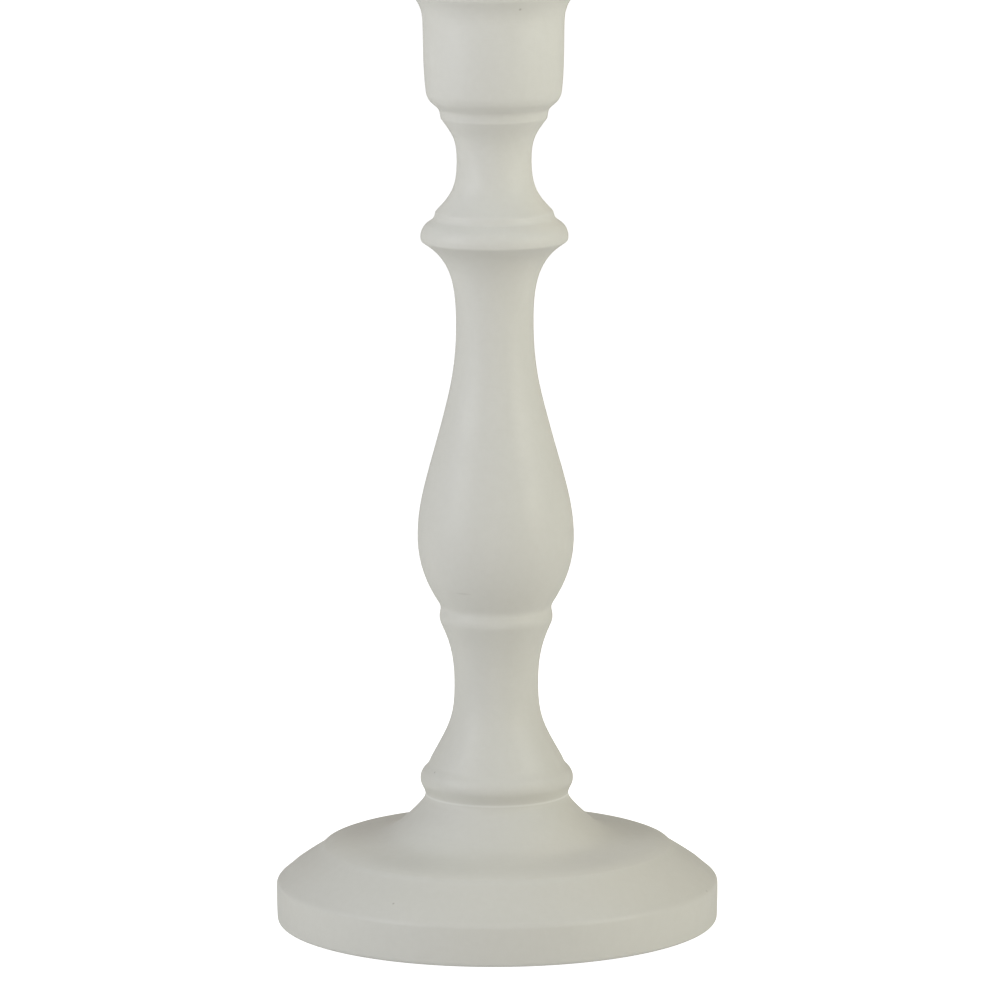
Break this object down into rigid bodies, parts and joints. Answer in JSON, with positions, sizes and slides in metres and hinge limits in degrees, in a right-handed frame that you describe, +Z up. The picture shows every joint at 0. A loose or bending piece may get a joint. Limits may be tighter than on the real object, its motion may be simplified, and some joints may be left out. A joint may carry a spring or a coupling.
{
  "type": "candlestick",
  "caption": "Tall turned and painted wooden candlestick with a round moulded foot, a slender baluster stem and a flared cup holding a drop-in metal candle liner.",
  "frame": {"origin": "on the turning axis at the underside of the felt, the surface that the candlestick stands on", "axes": "+Z up along the turning axis, from the foot to the cup; +X and +Y lie in the plane it stands on"},
  "size_m": [0.12, 0.12, 0.2592],
  "materials": {
    "foot_paint": "satin stone-cream paint on turned wood",
    "lower_stem_paint": "satin stone-cream paint on turned wood",
    "baluster_paint": "satin stone-cream paint on turned wood",
    "upper_stem_paint": "satin stone-cream paint on turned wood",
    "candle_cup_paint": "satin stone-cream paint on turned wood",
    "beech": "bare fluted beech dowel",
    "zinc_plated_steel": "zinc plated",
    "felt": "dark green pressed wool felt",
    "liner_brass": "spun, satin"
  },
  "bodies": {
    "candlestick": {"foot": "foot_paint", "lower_stem": "lower_stem_paint", "baluster": "baluster_paint", "upper_stem": "upper_stem_paint", "candle_cup": "candle_cup_paint", "dowel_lower": "beech", "dowel_middle": "beech", "dowel_upper": "beech", "foot_screw": "zinc_plated_steel", "foot_washer": "zinc_plated_steel", "felt_pad": "felt"},
    "liner": {"candle_liner": "liner_brass"}
  },
  "joints": [
    {"name": "liner_lift", "type": "slide", "parent": "candlestick", "child": "liner", "axis": [0, 0, 1], "range_m": [0, 0.03]}
  ]
}
